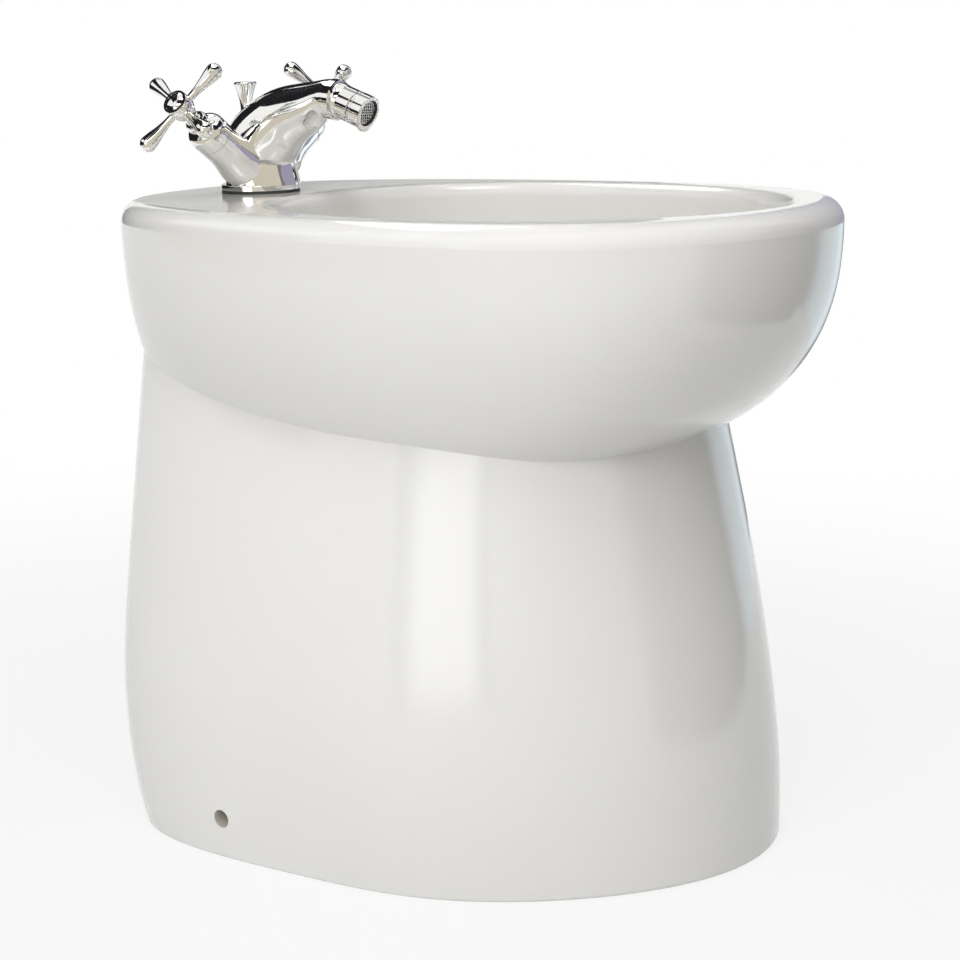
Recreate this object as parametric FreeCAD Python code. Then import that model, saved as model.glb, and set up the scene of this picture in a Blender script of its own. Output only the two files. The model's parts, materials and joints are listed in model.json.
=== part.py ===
import FreeCAD, Part
import math
import os

os.makedirs("parts", exist_ok=True)

V = FreeCAD.Vector
X_AXIS = V(1, 0, 0)
Y_AXIS = V(0, 1, 0)
Z_AXIS = V(0, 0, 1)
ORIGIN = V(0, 0, 0)

# Floor-standing bidet: bowl on a flared pedestal, two-handle mixer with a swivelling nozzle on the
# rear deck, and a pop-up waste worked by a lift rod. Millimetres, floor at z = 0, front towards -Y.

# Overall ceramic sizes
RIM_H = 390.0
RIM_FRONT = 235.0
RIM_REAR = 235.0
RIM_HALF = 157.0
RIM_MID = -49.0
RIM_ROUND = 13.0
RIM_INNER_ROUND = 8.0

# Plan curve powers, front and rear
BOWL_FRONT_POWER = 2.0
BOWL_REAR_POWER = 2.7
BOWL_REAR_EASE = 0.6
BASE_FRONT_POWER = 2.0
BASE_REAR_POWER = 3.6
BASIN_FRONT_POWER = 2.0
BASIN_REAR_POWER = 2.4

# Bowl underside: how far each side draws in towards the foot of the bowl
BOWL_DEPTH = 157.7
BOWL_POWER = 2.69
BOWL_FRONT_DRAW = 175.8
BOWL_REAR_DRAW = 45.0
BOWL_SIDE_DRAW = 83.0
BOWL_MID_DRAW = 41.6

# Pedestal: flare towards the foot, tuck just above the floor
BASE_FRONT = 199.7
BASE_REAR = 214.0
BASE_HALF = 170.5
BASE_MID = 16.6
BASE_FLARE_FRONT = 36.6
BASE_FLARE_SIDE = 41.7
BASE_FLARE_REAR = 7.7
BASE_FLARE_MID = 20.6
BASE_FLARE_FROM = 30.0
BASE_FLARE_RISE = 225.0
BASE_FLARE_POWER = 1.424
BASE_TUCK_REAR = 20.4
BASE_TUCK_SIDE = 7.6
BASE_TUCK_RISE = 130.0
BASE_TUCK_POWER = 2.0
BASE_TOP_DROP = 65.0
BASE_EDGE_ROUND = 2.0
WALL = 13.0

# Basin
BASIN_DEPTH = 130.0
BASIN_RIM_FRONT = 28.0
BASIN_RIM_SIDE = 28.0
BASIN_DECK = 123.0
BASIN_MID_SHIFT = 2.0
BASIN_POWER = 3.0
BASIN_FLOOR_T = 24.0
BASIN_FLOOR_FRONT = 60.0
BASIN_FLOOR_REAR = 48.0
BASIN_FLOOR_HALF = 50.0
DRAIN_Y = -20.0

# Service space
DECK_T = 20.0
TAP_INSET = 74.0
CHAMBER_HALF = 68.0
CHAMBER_AHEAD = 34.0
CHAMBER_REAR_WALL = 31.0
CHAMBER_ROUND = 18.0
CHAMBER_OVERLAP = 30.0
ARCH_HALF = 62.0
ARCH_RISE = 2.0
FIX_HOLE_R = 5.75
FIX_HOLE_Y = 80.0
FIX_HOLE_Z = 26.0

# Clearances
GAP = 0.4
SEAT_GAP = 0.3
SHAFT_GAP = 0.05
PUSH_GAP = 0.02
OVERCUT = 1.0

# Places that follow from the ceramic sizes
TAP_Y = RIM_REAR - TAP_INSET
CHAMBER_Y0 = TAP_Y - CHAMBER_AHEAD
CHAMBER_Y1 = RIM_REAR - CHAMBER_REAR_WALL
BASIN_FRONT = RIM_FRONT - BASIN_RIM_FRONT
BASIN_REAR = RIM_REAR - BASIN_DECK
BASIN_HALF = RIM_HALF - BASIN_RIM_SIDE
BASIN_MID = RIM_MID + BASIN_MID_SHIFT
BASIN_FLOOR_Z = RIM_H - BASIN_DEPTH
CAVITY_TOP = BASIN_FLOOR_Z - BASIN_FLOOR_T
BASE_TOP = RIM_H - BASE_TOP_DROP
ARCH_SPRING = CAVITY_TOP + ARCH_RISE

# Mixer body, measured from the deck at the tap hole
TAP_HOLE_R = 17.5
GASKET_T = 2.0
GASKET_INSET = 0.6
GASKET_BORE_R = 18.5
FOOT_R = 26.0
FOOT_H = 3.6
FOOT_ROUND = 1.0
BODY_R = 24.6
HANDLE_X = 75.2
HANDLE_Z = 57.5
HANDLE_RISE = 34.0
HOT_REST = 59.0
COLD_REST = 48.5
ARM_END = -35.5
ARM_END_R = 12.7
ARM_ROOT = -63.0
ARM_ROOT_R = 14.8
ARM_BORE_R = 8.3
ARM_BORE_DEPTH = 37.5
INLET_X = 7.0
INLET_BACK = 2.0
INLET_R = 4.25
INLET_DEPTH = 12.0
DUCT_R = 3.0
DUCT_X = 17.0
DUCT_LOW_Z = 18.3
DUCT_HIGH_Z = 25.0
MIX_FWD = 8.0
MIX_Z = 36.0
SPOUT_DUCT_R = 6.0
SPOUT_TURN_FWD = 27.0
SPOUT_TURN_Z = 49.5

# Deck fixing
STUD_FWD = 11.0
STUD_R = 4.0
STUD_IN = 13.0
STUD_BELOW = 42.0
MOON_R = 24.0
MOON_CUT = 4.0
MOON_GASKET_T = 2.0
MOON_WASHER_T = 2.5
MOON_WASHER_INSET = 0.5
STUD_NUT_ACROSS = 13.0
STUD_NUT_H = 9.0

# Headwork, spindle and bonnet, measured along the handle's axis from the middle of the cross
SPINDLE_R = 3.0
SPINDLE_TOP = 0.7
SPINDLE_DEPTH = 30.5
HEADWORK_DEPTH = 33.5
HEADWORK_COLLAR_R = 9.4
HEADWORK_COLLAR_H = 3.0
HEADWORK_SLEEVE_R = 5.9
HEADWORK_SLEEVE_END = -26.4
HEADWORK_PORT_R = 2.6
HEADWORK_PORT_UP = 3.4
BONNET_R = 12.9
BONNET_BAND_H = 3.0
BONNET_NECK_R = 6.4
BONNET_NECK_T = -21.2
BONNET_BEAD_R = 7.7
BONNET_BEAD_T = -17.9
BONNET_TOP_R = 6.4
BONNET_TOP_T = -14.6
BONNET_BORE_R = 3.6
BONNET_INNER_R = 6.4

# Cross handle
HUB_R = 8.4
HUB_STEM_R = 5.0
HUB_SKIRT = -13.6
HUB_SKIRT_H = 1.6
HUB_RIM_R = 8.1
HUB_NECK_R = 7.6
HUB_NECK_Z = 4.6
HUB_RIM_Z = 5.2
HUB_TOP = 7.2
CAP_R = 6.3
CAP_SEAT_Z = 5.6
CAP_EDGE_Z = 7.6
CAP_TOP_Z = 9.7
SCREW_R = 1.9
SCREW_DEPTH = 8.0
SCREW_HEAD_R = 3.6
SCREW_HEAD_H = 2.4
SCREW_SEAT_Z = 2.8
SCREW_SLOT = 1.0
CROSS_ROOT_R = 2.6
CROSS_ROOT = 4.0
CROSS_BALL_R = 5.3
CROSS_BALL = 30.3
CROSS_TIP = 35.4

# Spout end and swivelling nozzle, along the nozzle's axis from the ball's centre
BALL_FWD = 66.0
BALL_Z = 59.0
BALL_R = 9.0
SPOUT_TILT = 96.0
SPOUT_END = 5.0
SPOUT_STEP = 0.5
NOZZLE_TILT = 110.0
RING_R = 12.9
RING_WALL = 1.1
RING_MOUTH_R = 7.9
RING_DOME = 2.3
RING_EDGE = 0.6
SOCKET_GAP = 1.5
SEAL_T = 0.85
SEAL_LOW = -58.0
SEAL_HIGH = -36.0
CUP_GAP = 2.7
BARREL_R = 10.8
BARREL_END = 13.9
BARREL_EDGE = 0.5
NOZZLE_NECK_R = 4.9
NOZZLE_BORE_R = 4.0
NOZZLE_SPIGOT_R = 9.0
NOZZLE_SPIGOT_END = 18.0
COLLAR_R = 10.9
COLLAR_EDGE = 0.5
COLLAR_GROOVE = 0.3
COLLAR_FACE = 24.4
COLLAR_LIP_R = 8.5
COLLAR_LIP_T = 0.5
AERATOR_STEP_Z = 21.6
AERATOR_LEDGE_R = 6.4
SCREEN_R = 7.5
SCREEN_T = 1.2
SCREEN_PITCH = 2.1
SCREEN_HOLE_R = 0.7
SCREEN_FIELD_R = 6.7

# Lift rod and linkage
ROD_BACK = 9.5
ROD_R = 2.4
ROD_IN_KNOB = 10.0
KNOB_SEAT_Z = 51.5
KNOB_SEAT_R = 5.2
KNOB_LIFT = 0.5
KNOB_R = 7.1
KNOB_FOOT_R = 3.5
KNOB_H = 18.5
KNOB_EDGE_R = 6.8
LIFT_TRAVEL = 32.0
CLEVIS_R = 6.0
CLEVIS_ABOVE = 12.0
CLEVIS_BELOW = 6.0
CLEVIS_RISE = 22.0
STRAP_HALF = 5.0
STRAP_T = 2.0
STRAP_BELOW = 34.0
STRAP_PITCH = 9.0
STRAP_HOLES = 4
CLEVIS_SCREW_R = 2.0
CLEVIS_SCREW_L = 8.0
CLEVIS_HEAD_R = 4.5
CLEVIS_HEAD_H = 4.0
CLIP_T = 0.8
CLIP_HALF = 4.0
CLIP_REACH = 2.8
CLIP_SIDE = 6.3
CLIP_TOP = 6.0
CLIP_FOLD_TOP = 6.5
CLIP_BOTTOM = 13.5

# Pop-up waste; the heights hang from the roof of the service space
FLANGE_R = 31.5
FLANGE_T = 3.0
FLANGE_EDGE = 2.0
FLANGE_POCKET_R = 33.0
FLANGE_SINK = 0.4
FLANGE_GASKET_T = 1.5
FLANGE_GASKET_INSET = 1.5
FLANGE_MOUTH_R = 22.5
FLANGE_SEAT_R = 20.4
FLANGE_SEAT_IN_R = 18.6
FLANGE_SEAT_DROP = 2.0
FLANGE_THROAT_DROP = 5.0
DRAIN_HOLE_R = 23.0
TUBE_R = 20.5
TUBE_BORE = 17.5
TUBE_DROP = 36.0
TEE_R = 24.0
TEE_WALL_STEP = 3.0
TEE_TOP_DROP = 24.0
TEE_BOTTOM_DROP = 74.0
TEE_SHOULDER_UP = 21.0
TEE_SHOULDER_EASE = 2.0
TEE_LEDGE = 1.0
TEE_STOP = 1.5
TAIL_R = 16.0
TAIL_BORE = 14.6
TAIL_DROP = 144.0
TAIL_STEP_DROP = 4.0
TAIL_IN_TEE = 19.3
BACK_GASKET_R = 29.0
BACK_GASKET_T = 5.0
BACK_NUT_ACROSS = 54.0
BACK_NUT_H = 10.0
BACK_NUT_FLANGE_R = 30.5
BACK_NUT_FLANGE_T = 2.0
PIVOT_OUT = 27.0
PIVOT_DROP = 46.0
PIVOT_BALL_R = 6.5
LEVER_R = 2.5
LEVER_TIP = 3.5
LEVER_TAIL = 16.0
LEVER_HOLE_GAP = 0.6
PORT_R = 7.5
PORT_BOSS_R = 10.4
PORT_BOSS_END = 36.0
PORT_SEAT = 8.2
PORT_WAY_R = 5.0
BALL_SEAT_HOLE_R = 4.6
BALL_SEAT_END = 7.8
BALL_SEAT_ANGLE = 22.0
BALL_NUT_ACROSS = 25.0
BALL_NUT_BORE_R = 10.7
BALL_NUT_BACK = 1.0
BALL_NUT_SEAT = 9.4
BALL_NUT_END = 12.4
PLUG_R = 19.6
PLUG_EDGE_H = 2.2
PLUG_EDGE_BULGE = 0.5
PLUG_H = 4.9
PLUG_STEM_R = 3.0
PLUG_NECK_R = 12.0
PLUG_NECK_H = 5.6
PLUG_FIN_R = 16.4
PLUG_FIN_T = 1.8
PLUG_FIN_H = 26.0
PLUG_EYE_R = 6.0
PLUG_EYE_T = 3.0
PLUG_EYE_GAP = 0.5
PLUG_SEAL_T = 2.0
PLUG_SEAL_GAP = 0.1
PLUG_SEAL_INSET = 0.2

# Places that follow from the waste and linkage sizes
ROD_Y = TAP_Y + ROD_BACK
TUBE_END = CAVITY_TOP - TUBE_DROP
TEE_TOP = CAVITY_TOP - TEE_TOP_DROP
TEE_BOTTOM = CAVITY_TOP - TEE_BOTTOM_DROP
TAIL_END = CAVITY_TOP - TAIL_DROP
PIVOT_Z = CAVITY_TOP - PIVOT_DROP
LEVER_ARM = ROD_Y - DRAIN_Y - PIVOT_OUT
LEVER_REST = math.degrees(math.atan(LIFT_TRAVEL / 2.0 / LEVER_ARM))
PLUG_TRAVEL = LIFT_TRAVEL * PIVOT_OUT / LEVER_ARM
FLANGE_LOW = BASIN_FLOOR_Z - FLANGE_T
PLUG_LOW = FLANGE_LOW + PLUG_TRAVEL + GAP
STRAP_HOLE_Z = PIVOT_Z - LIFT_TRAVEL / 2.0
ROD_END_Z = STRAP_HOLE_Z + CLEVIS_RISE


def export(name, shape):
    shape.exportStep("parts/" + name + ".step")


def cylinder(radius, z0, z1, x=0.0, y=0.0):
    return Part.makeCylinder(radius, z1 - z0, V(x, y, z0), Z_AXIS)


def tube(outer, inner, z0, z1, x=0.0, y=0.0):
    return cylinder(outer, z0, z1, x, y).cut(cylinder(inner, z0 - OVERCUT, z1 + OVERCUT, x, y))


def box(x0, x1, y0, y1, z0, z1):
    return Part.makeBox(x1 - x0, y1 - y0, z1 - z0, V(x0, y0, z0))


def rod_y(radius, y0, y1, z, x=0.0):
    return Part.makeCylinder(radius, y1 - y0, V(x, y0, z), Y_AXIS)


def hex_prism(across, z0, z1):
    radius = across / math.sqrt(3.0)
    corners = [V(radius * math.cos(math.radians(60 * i)), radius * math.sin(math.radians(60 * i)), z0)
               for i in range(7)]
    return Part.Face(Part.makePolygon(corners)).extrude(V(0, 0, z1 - z0))


def line(a, b):
    return Part.makeLine(V(a[0], 0, a[1]), V(b[0], 0, b[1]))


def arc(a, m, b):
    return Part.Arc(V(a[0], 0, a[1]), V(m[0], 0, m[1]), V(b[0], 0, b[1])).toShape()


def curve(points):
    spline = Part.BSplineCurve()
    spline.interpolate([V(r, 0, z) for r, z in points])
    return spline.toShape()


def chain(points):
    return [line(points[i], points[i + 1]) for i in range(len(points) - 1)]


def turned(edges):
    # Solid of revolution about Z from a closed outline given as edges in the XZ plane.
    face = Part.Face(Part.Wire(edges))
    solid = face.revolve(ORIGIN, Z_AXIS, 360).Solids[0]
    if solid.Volume < 0:
        solid.reverse()
    return solid


def turned_points(points):
    return turned(chain(points + [points[0]]))


def on_sphere(radius, r):
    return math.sqrt(radius * radius - r * r)


def sphere_arc(radius, a, b):
    # Arc about the origin in the XZ plane between two points that lie on it.
    angle = (math.atan2(a[1], a[0]) + math.atan2(b[1], b[0])) / 2.0
    middle = (radius * math.cos(angle), radius * math.sin(angle))
    return arc(a, middle, b)


def dome(r, z_edge, z_top):
    # Arc from (r, z_edge) to the axis at z_top, centred on the axis so that it turns into a sphere.
    h = z_top - z_edge
    radius = (r * r + h * h) / (2.0 * h)
    centre = z_top - radius
    angle = (math.atan2(z_edge - centre, r) + math.pi / 2.0) / 2.0
    middle = (radius * math.cos(angle), centre + radius * math.sin(angle))
    return arc((r, z_edge), middle, (0, z_top))


def plan_wire(front, rear, mid, half, power_front, power_rear, z, count=40):
    # Closed plan outline: an oval whose power grows from the front to the squarer rear.
    points = []
    for i in range(count):
        angle = 2.0 * math.pi * (i + 0.5) / count
        c = math.cos(angle)
        s = math.sin(angle)
        w = (1.0 + s) / 2.0
        power = power_front + (power_rear - power_front) * w * w * (3.0 - 2.0 * w)
        length = (front + mid) * (1.0 - w) + (rear - mid) * w
        r = (abs(c) ** power + abs(s) ** power) ** (-1.0 / power)
        points.append(V(half * r * c, mid + length * r * s, z))
    spline = Part.BSplineCurve()
    spline.interpolate(points, PeriodicFlag=True)
    return Part.Wire(spline.toShape())


def bowl_section(part):
    # part runs from 0 at the rim to 1 at the bottom of the bowl's underside curve.
    drawn = 1.0 - math.sqrt(1.0 - part ** BOWL_POWER)
    front = RIM_FRONT - BOWL_FRONT_DRAW * drawn
    rear = RIM_REAR - BOWL_REAR_DRAW * drawn
    half = RIM_HALF - BOWL_SIDE_DRAW * drawn
    mid = RIM_MID + BOWL_MID_DRAW * drawn
    power = BOWL_REAR_POWER - BOWL_REAR_EASE * drawn
    return plan_wire(front, rear, mid, half, BOWL_FRONT_POWER, power, RIM_H - BOWL_DEPTH * part)


def base_section(z, inset=0.0):
    flare = max(0.0, (z - BASE_FLARE_FROM) / BASE_FLARE_RISE) ** BASE_FLARE_POWER
    tuck = max(0.0, (BASE_TUCK_RISE - z) / BASE_TUCK_RISE) ** BASE_TUCK_POWER
    front = BASE_FRONT - BASE_FLARE_FRONT * flare - inset
    rear = BASE_REAR - BASE_TUCK_REAR * tuck + BASE_FLARE_REAR * flare - inset
    half = BASE_HALF - BASE_FLARE_SIDE * flare - BASE_TUCK_SIDE * tuck - inset
    mid = BASE_MID - BASE_FLARE_MID * flare
    return plan_wire(front, rear, mid, half, BASE_FRONT_POWER, BASE_REAR_POWER, z)


def basin_section(part):
    # part runs from 0 at the rim to 1 at the basin floor, which narrows to the drain.
    k = math.sqrt(1.0 - part ** BASIN_POWER)
    front = BASIN_FLOOR_FRONT - DRAIN_Y + (BASIN_FRONT - BASIN_FLOOR_FRONT + DRAIN_Y) * k
    rear = BASIN_FLOOR_REAR + DRAIN_Y + (BASIN_REAR - BASIN_FLOOR_REAR - DRAIN_Y) * k
    half = BASIN_FLOOR_HALF + (BASIN_HALF - BASIN_FLOOR_HALF) * k
    mid = DRAIN_Y + (BASIN_MID - DRAIN_Y) * k
    return plan_wire(front, rear, mid, half, BASIN_FRONT_POWER, BASIN_REAR_POWER, RIM_H - BASIN_DEPTH * part)


def flat_edges(shape, z):
    return [e for e in shape.Edges if abs(e.BoundBox.ZMin - z) < 0.01 and abs(e.BoundBox.ZMax - z) < 0.01]


def make_ceramic():
    parts = (0.0, 0.15, 0.30, 0.45, 0.58, 0.70, 0.79, 0.87, 0.94)
    bowl = Part.makeLoft([bowl_section(k) for k in parts], True, False)
    bowl = bowl.makeFillet(RIM_ROUND, flat_edges(bowl, RIM_H))
    heights = (0.0, 0.09, 0.20, 0.31, 0.43, 0.55, 0.68, 0.80, 0.91, 1.0)
    base = Part.makeLoft([base_section(BASE_TOP * k) for k in heights], True, False)
    base = base.makeFillet(BASE_EDGE_ROUND, flat_edges(base, 0.0))
    body = bowl.fuse(base)

    steps = (0.0, 0.14, 0.32, 0.51, 0.68, 0.81, 0.90, 0.96, 0.99, 1.0)
    basin = Part.makeLoft([basin_section(k) for k in steps], True, False)
    body = body.cut(basin)
    rim_edges = [e for e in flat_edges(body, RIM_H) if e.BoundBox.XMax < BASIN_HALF + OVERCUT]
    body = body.makeFillet(RIM_INNER_ROUND, rim_edges)

    levels = (0.13, 0.28, 0.42, 0.59, 0.76, 0.90, 1.0)
    sections = [base_section(-OVERCUT, WALL)] + [base_section(CAVITY_TOP * k, WALL) for k in levels]
    cavity = Part.makeLoft(sections, True, False)
    chamber = box(-CHAMBER_HALF, CHAMBER_HALF, CHAMBER_Y0, CHAMBER_Y1, CAVITY_TOP - CHAMBER_OVERLAP, RIM_H - DECK_T)
    uprights = [e for e in chamber.Edges if e.BoundBox.ZLength > OVERCUT]
    chamber = chamber.makeFillet(CHAMBER_ROUND, uprights)
    arch_y = CHAMBER_Y1 - CHAMBER_OVERLAP
    arch_end = RIM_REAR + CHAMBER_OVERLAP
    arch = box(-ARCH_HALF, ARCH_HALF, arch_y, arch_end, -OVERCUT, ARCH_SPRING)
    crown = rod_y(ARCH_HALF, arch_y, arch_end, ARCH_SPRING)
    body = body.cut(cavity.fuse([chamber, arch, crown]))

    holes = [cylinder(TAP_HOLE_R, RIM_H - DECK_T - OVERCUT, RIM_H + OVERCUT, 0.0, TAP_Y)]
    holes.append(cylinder(DRAIN_HOLE_R, CAVITY_TOP - OVERCUT, BASIN_FLOOR_Z + OVERCUT, 0.0, DRAIN_Y))
    pocket_z = FLANGE_LOW - FLANGE_GASKET_T
    holes.append(cylinder(FLANGE_POCKET_R, pocket_z, BASIN_FLOOR_Z + OVERCUT, 0.0, DRAIN_Y))
    for side in (-1, 1):
        start = V(side * (BASE_HALF - 3.0 * WALL), FIX_HOLE_Y, FIX_HOLE_Z)
        holes.append(Part.makeCylinder(FIX_HOLE_R, 4.0 * WALL, start, V(side, 0, 0)))
    return body.cut(holes).Solids[0]


# Mixer placement helpers. The mixer's own frame has its origin on the deck at the tap hole.
def to_deck(shape):
    moved = shape.copy()
    moved.translate(V(0, TAP_Y, RIM_H))
    return moved


def tilted(shape, forward, z, tilt):
    # Turns a shape built along +Z about X so that it points forward, then moves it into place.
    moved = shape.copy()
    moved.rotate(ORIGIN, X_AXIS, tilt)
    moved.translate(V(0, -forward, z))
    return moved


def on_handle_axis(shape, side):
    # side is -1 for hot and +1 for cold; +Z of the shape runs out along the handle's axis.
    moved = shape.copy()
    moved.rotate(ORIGIN, Y_AXIS, side * (90.0 - HANDLE_RISE))
    moved.translate(V(side * HANDLE_X, 0, HANDLE_Z))
    return moved


def rod_between(a, b, radius):
    along = b.sub(a)
    return Part.makeCylinder(radius, along.Length, a, along)


def horn(stations):
    # Swept limb through rings given as forward offset, height, tilt from upright and radius.
    wires = [tilted(Part.Wire(Part.makeCircle(r)), forward, z, tilt) for forward, z, tilt, r in stations]
    return Part.makeLoft(wires, True, False)


def spout_horn():
    e = math.radians(SPOUT_TILT)
    end_fwd = BALL_FWD - SPOUT_END * math.sin(e)
    end_z = BALL_Z - SPOUT_END * math.cos(e)
    end_r = RING_R - SPOUT_STEP
    grow = BODY_R - end_r
    run = end_fwd
    rise = end_z - GASKET_T
    return horn([
        (0.0, GASKET_T + OVERCUT, 0.0, BODY_R),
        (0.006 * run, GASKET_T + 0.23 * rise, 8.0, end_r + 0.98 * grow),
        (0.08 * run, GASKET_T + 0.56 * rise, 34.0, end_r + 0.93 * grow),
        (0.24 * run, GASKET_T + 0.70 * rise, 52.0, end_r + 0.78 * grow),
        (0.41 * run, GASKET_T + 0.81 * rise, 66.0, end_r + 0.57 * grow),
        (0.62 * run, GASKET_T + 0.885 * rise, 78.0, end_r + 0.36 * grow),
        (0.82 * run, GASKET_T + 0.955 * rise, 88.0, end_r + 0.14 * grow),
        (end_fwd, end_z, SPOUT_TILT, end_r),
    ])


def arm_horn(side):
    # One side arm: starts leaning inside the foot and runs out along the handle's axis to the bonnet.
    lean = math.radians(HANDLE_RISE)
    root_x = HANDLE_X + ARM_ROOT * math.cos(lean)
    root_z = HANDLE_Z + ARM_ROOT * math.sin(lean)
    slope = 90.0 - HANDLE_RISE
    stations = [
        (0.09 * root_x, GASKET_T + 0.30 * (root_z - GASKET_T), 0.71 * slope, ARM_ROOT_R),
        (0.43 * root_x, GASKET_T + 0.57 * (root_z - GASKET_T), 0.84 * slope, 1.04 * ARM_ROOT_R),
        (0.77 * root_x, GASKET_T + 0.82 * (root_z - GASKET_T), 0.95 * slope, 1.03 * ARM_ROOT_R),
    ]
    for k, r in ((0.0, 1.0), (0.42, 0.15), (0.75, 0.0), (1.0, 0.0)):
        t = ARM_ROOT + (ARM_END - ARM_ROOT) * k
        radius = ARM_END_R + (ARM_ROOT_R - ARM_END_R) * r
        stations.append((HANDLE_X + t * math.cos(lean), HANDLE_Z + t * math.sin(lean), slope, radius))
    limb = horn(stations)
    limb.rotate(ORIGIN, Z_AXIS, side * 90.0)
    return limb


def make_mixer_body():
    foot_top = GASKET_T + FOOT_H
    bend = FOOT_ROUND * (1.0 - math.sqrt(0.5))
    foot = turned([
        line((0, GASKET_T), (FOOT_R, GASKET_T)),
        line((FOOT_R, GASKET_T), (FOOT_R, foot_top - FOOT_ROUND)),
        arc((FOOT_R, foot_top - FOOT_ROUND), (FOOT_R - bend, foot_top - bend), (FOOT_R - FOOT_ROUND, foot_top)),
        line((FOOT_R - FOOT_ROUND, foot_top), (0, foot_top)),
        line((0, foot_top), (0, GASKET_T)),
    ])
    parts = [foot]
    for side in (-1, 1):
        parts.append(arm_horn(side))
    spigot = cylinder(RING_R - RING_WALL - SEAT_GAP, -SPOUT_END - OVERCUT, -SOCKET_GAP)
    parts.append(tilted(spigot, BALL_FWD, BALL_Z, SPOUT_TILT))
    body = spout_horn().fuse(parts)

    cuts = [box(-FOOT_R, FOOT_R, -FOOT_R, FOOT_R, -FOOT_R, GASKET_T)]
    cuts.append(Part.makeSphere(BALL_R + SOCKET_GAP, V(0, -BALL_FWD, BALL_Z)))
    mix = V(0, -MIX_FWD, MIX_Z)
    inlet_top = GASKET_T + INLET_DEPTH
    for side in (-1, 1):
        cuts.append(on_handle_axis(cylinder(ARM_BORE_R, ARM_END - ARM_BORE_DEPTH, ARM_END + OVERCUT), side))
        cuts.append(cylinder(INLET_R, GASKET_T - OVERCUT, inlet_top, side * INLET_X, INLET_BACK))
        cuts.append(cylinder(DUCT_R, inlet_top - OVERCUT, DUCT_LOW_Z + DUCT_R, side * INLET_X, INLET_BACK))
        start = V(side * INLET_X, INLET_BACK, DUCT_LOW_Z)
        cuts.append(rod_between(start, V(side * DUCT_X, 0, DUCT_LOW_Z), DUCT_R - GAP))
        cuts.append(rod_between(V(side * DUCT_X, 0, DUCT_HIGH_Z), mix, DUCT_R))
    turn = V(0, -SPOUT_TURN_FWD, SPOUT_TURN_Z)
    cuts.append(Part.makeSphere(SPOUT_DUCT_R, mix))
    cuts.append(rod_between(mix, turn, SPOUT_DUCT_R))
    cuts.append(Part.makeSphere(SPOUT_DUCT_R, turn))
    cuts.append(rod_between(turn, V(0, -BALL_FWD, BALL_Z), SPOUT_DUCT_R))
    cuts.append(cylinder(ROD_R + GAP, 0.0, KNOB_SEAT_Z + OVERCUT, 0.0, ROD_BACK))
    cuts.append(cylinder(KNOB_SEAT_R, KNOB_SEAT_Z, KNOB_SEAT_Z + FOOT_R, 0.0, ROD_BACK))
    cuts.append(cylinder(STUD_R, GASKET_T - OVERCUT, GASKET_T + STUD_IN + OVERCUT, 0.0, -STUD_FWD))
    return body.cut(cuts).Solids[0]


def make_base_gasket():
    return tube(FOOT_R - GASKET_INSET, GASKET_BORE_R, 0.0, GASKET_T)


def make_fixing_stud():
    return cylinder(STUD_R, -DECK_T - STUD_BELOW, GASKET_T + STUD_IN, 0.0, -STUD_FWD)


def half_moon(radius, z0, z1):
    plate = cylinder(radius, z0, z1)
    plate = plate.cut(box(-FOOT_R, FOOT_R, -MOON_CUT, FOOT_R, z0 - OVERCUT, z1 + OVERCUT))
    return plate.cut(cylinder(STUD_R + GAP, z0 - OVERCUT, z1 + OVERCUT, 0.0, -STUD_FWD))


def make_half_moon_gasket():
    return half_moon(MOON_R, -DECK_T - MOON_GASKET_T, -DECK_T)


def make_half_moon_washer():
    top = -DECK_T - MOON_GASKET_T
    return half_moon(MOON_R - MOON_WASHER_INSET, top - MOON_WASHER_T, top)


def make_fixing_nut():
    top = -DECK_T - MOON_GASKET_T - MOON_WASHER_T
    nut = hex_prism(STUD_NUT_ACROSS, top - STUD_NUT_H, top)
    nut = nut.cut(cylinder(STUD_R, top - STUD_NUT_H - OVERCUT, top + OVERCUT))
    nut.translate(V(0, -STUD_FWD, 0))
    return nut


# Handle parts, built about +Z with the cross arms in the plane z = 0
def make_headwork():
    low = ARM_END - HEADWORK_DEPTH
    bore = SPINDLE_R + SHAFT_GAP
    outer = ARM_BORE_R - GAP
    collar_top = ARM_END + HEADWORK_COLLAR_H
    body = turned_points([
        (bore, low), (outer, low), (outer, ARM_END), (HEADWORK_COLLAR_R, ARM_END),
        (HEADWORK_COLLAR_R, collar_top), (HEADWORK_SLEEVE_R, collar_top),
        (HEADWORK_SLEEVE_R, HEADWORK_SLEEVE_END), (bore, HEADWORK_SLEEVE_END),
    ])
    start = V(-ARM_END_R, 0, low + HEADWORK_PORT_UP)
    return body.cut(Part.makeCylinder(HEADWORK_PORT_R, 2.0 * ARM_END_R, start, X_AXIS))


def make_spindle():
    body = cylinder(SPINDLE_R, ARM_END - SPINDLE_DEPTH, SPINDLE_TOP)
    return body.cut(cylinder(SCREW_R, -SCREW_DEPTH - OVERCUT, SPINDLE_TOP + OVERCUT))


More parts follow.
